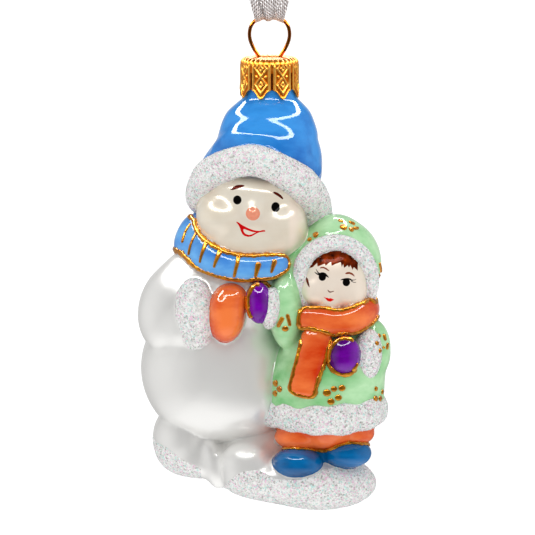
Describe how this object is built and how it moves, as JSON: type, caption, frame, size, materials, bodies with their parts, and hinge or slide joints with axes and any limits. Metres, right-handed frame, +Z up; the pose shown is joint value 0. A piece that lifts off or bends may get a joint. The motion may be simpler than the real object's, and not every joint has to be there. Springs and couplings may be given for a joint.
{
  "type": "glass christmas tree ornament",
  "caption": "Mould-blown glass tree ornament: a snowman in a hat and scarf beside a hooded child, with a brass crown cap, a wire loop and a ribbon to hang it by",
  "frame": {"origin": "the hang point, inside the top of the ribbon's loop under its knot", "axes": "+Z up along the line it hangs on, +X to the side where the child stands, -Y out of the face of the figures"},
  "size_m": [0.0579, 0.0389, 0.1379],
  "materials": {
    "lacquered_glass": "opaque pearl and coloured lacquers over silvered blown glass, high gloss",
    "stamped_brass": "thin stamped sheet, bright with darker recesses",
    "brass_wire": "drawn spring wire, bright",
    "silver_ribbon": "silvery woven ribbon, gathered in fine folds",
    "gold_paint": "raised gold enamel lines and dots",
    "glitter": "fine white and iridescent grains glued on"
  },
  "bodies": {
    "root": {"glass_figure": "lacquered_glass", "cap": "stamped_brass", "hanger_wire": "brass_wire", "ribbon": "silver_ribbon"}
  },
  "joints": []
}
